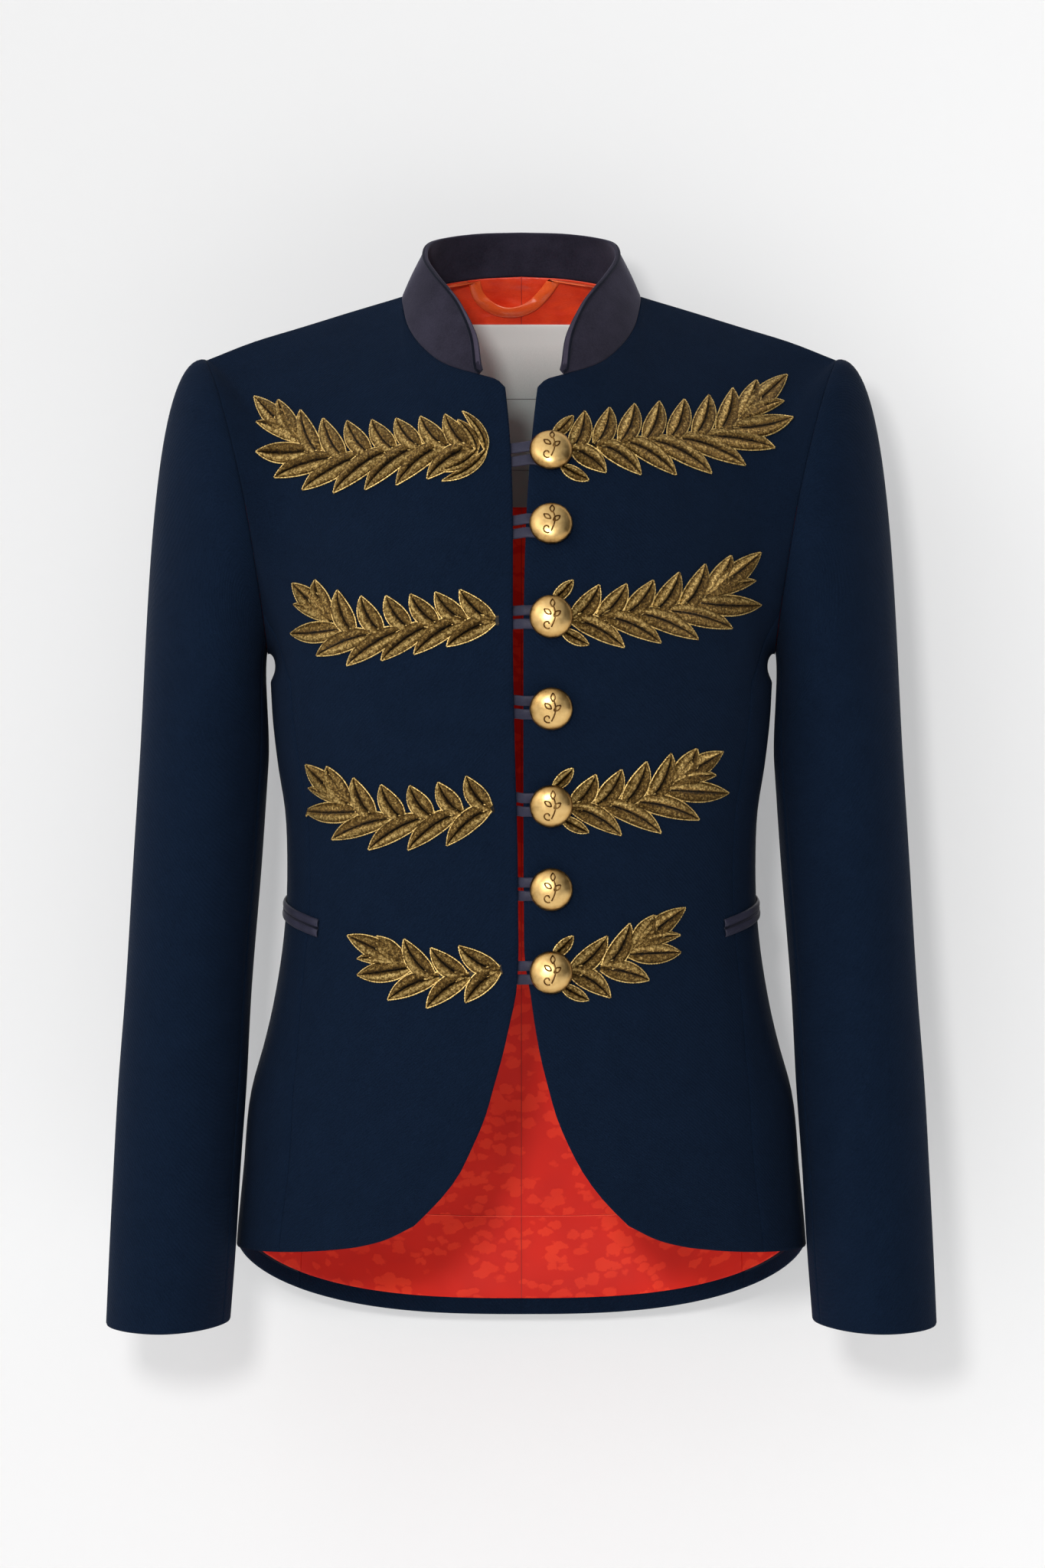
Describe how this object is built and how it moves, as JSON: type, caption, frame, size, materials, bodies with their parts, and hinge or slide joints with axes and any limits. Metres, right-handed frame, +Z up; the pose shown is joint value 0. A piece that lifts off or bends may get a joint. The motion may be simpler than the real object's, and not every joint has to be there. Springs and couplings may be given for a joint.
{
  "type": "embroidered blazer",
  "caption": "Fitted navy wool blazer with a suede stand collar, gold embroidered laurel sprays, looped domed brass buttons, slanted pocket jets and a red lining, filled out and hollow.",
  "frame": {"origin": "midway between the two neck points, where the collar's seam meets the shoulder seams, which is where the wearer or a form holds the blazer", "axes": "+Z up, -Y the way the front faces, +X the wearer's left"},
  "size_m": [0.5066, 0.2527, 0.6855],
  "materials": {
    "navy_wool": "matt wool cloth",
    "grey_suede": "suede",
    "grey_satin": "satin",
    "red_lining": "satin jacquard",
    "label_satin": "satin",
    "gold_thread": "satin-stitched metal thread",
    "satin_brass": "satin"
  },
  "bodies": {
    "root": {"front_right": "navy_wool", "side_right": "navy_wool", "back_right": "navy_wool", "sleeve_top_right": "navy_wool", "sleeve_under_right": "navy_wool", "jet_upper_right": "grey_satin", "jet_lower_right": "grey_satin", "laurel_right_1": "gold_thread", "laurel_right_2": "gold_thread", "laurel_right_3": "gold_thread", "laurel_right_4": "gold_thread", "front_left": "navy_wool", "side_left": "navy_wool", "back_left": "navy_wool", "sleeve_top_left": "navy_wool", "sleeve_under_left": "navy_wool", "jet_upper_left": "grey_satin", "jet_lower_left": "grey_satin", "laurel_left_1": "gold_thread", "laurel_left_2": "gold_thread", "laurel_left_3": "gold_thread", "laurel_left_4": "gold_thread", "collar": "grey_suede", "loop_1": "grey_satin", "loop_2": "grey_satin", "loop_3": "grey_satin", "loop_4": "grey_satin", "loop_5": "grey_satin", "loop_6": "grey_satin", "loop_7": "grey_satin", "button_1": "satin_brass", "button_2": "satin_brass", "button_3": "satin_brass", "button_4": "satin_brass", "button_5": "satin_brass", "button_6": "satin_brass", "button_7": "satin_brass", "lining_back": "red_lining", "yoke": "red_lining", "label": "label_satin", "hanger_loop": "red_lining"}
  },
  "joints": []
}
